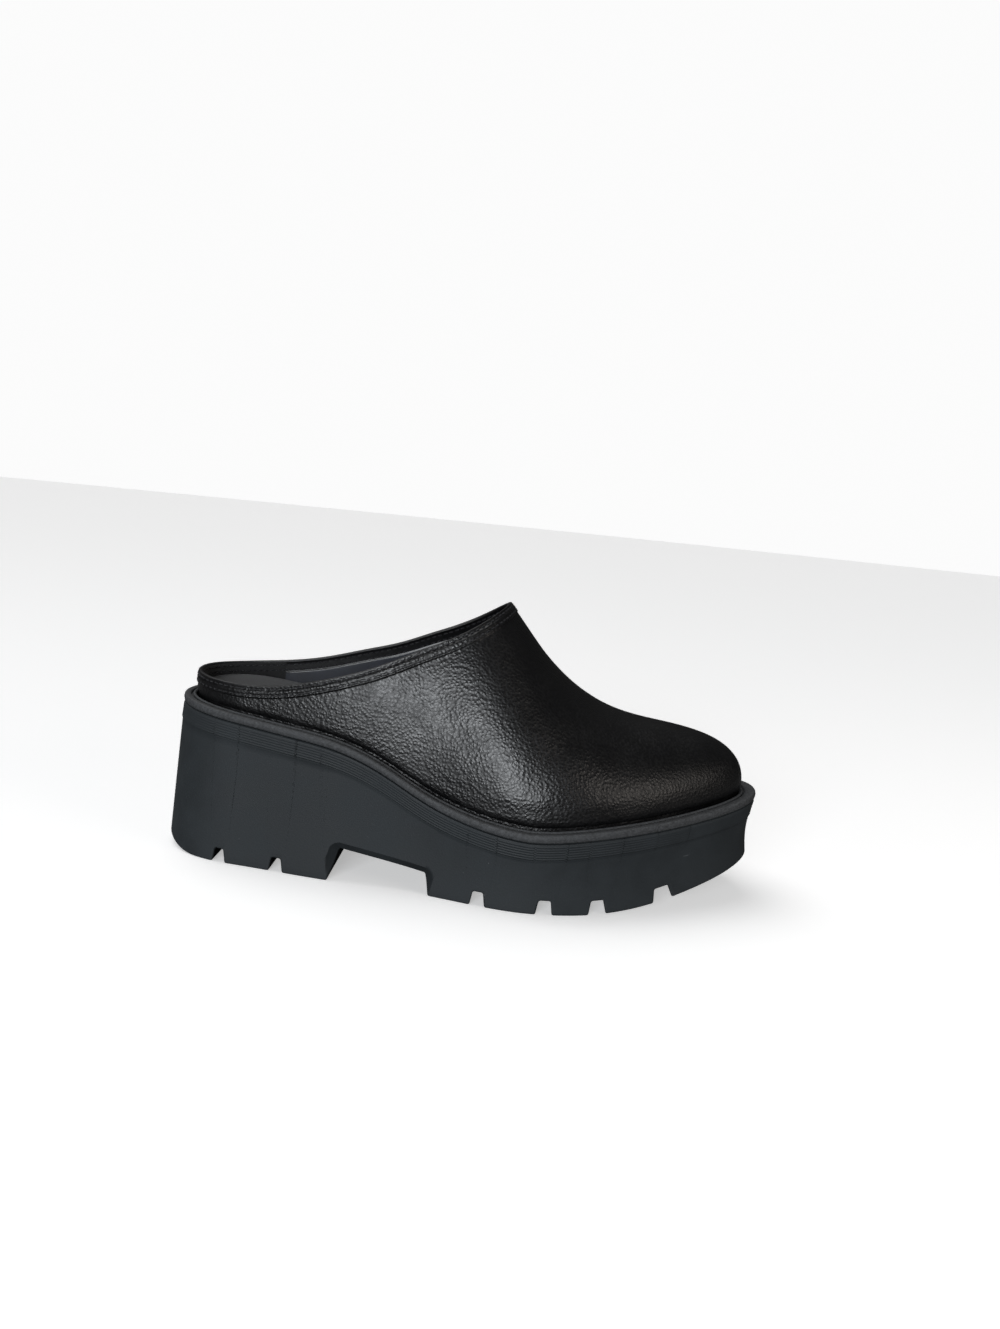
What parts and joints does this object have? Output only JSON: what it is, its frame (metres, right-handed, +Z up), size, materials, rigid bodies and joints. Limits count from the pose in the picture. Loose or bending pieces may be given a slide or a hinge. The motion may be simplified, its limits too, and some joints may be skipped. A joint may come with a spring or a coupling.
{
  "type": "clog",
  "caption": "Platform clog, right shoe: smooth closed toe and vamp, low closed heel rim, welt, moulded lug sole with block heel and arch gap",
  "frame": {"origin": "on the floor, under the middle of the shoe's outline box", "axes": "+X along the foot to the toe, +Y to the inner (medial) side of the foot, +Z up"},
  "size_m": [0.2688, 0.1055, 0.1245],
  "materials": {
    "sole_rubber": "matte charcoal moulded rubber, faint scuffs",
    "welt_rubber": "roughened matte dark grey rubber",
    "upper_leather": "black pebbled leather, semi-gloss",
    "insole_lining": "dark grey smooth lining, satin",
    "stitch_thread": "black thread"
  },
  "bodies": {
    "root": {"sole_unit": "sole_rubber", "welt": "welt_rubber", "upper": "upper_leather", "insole": "insole_lining"}
  },
  "joints": []
}
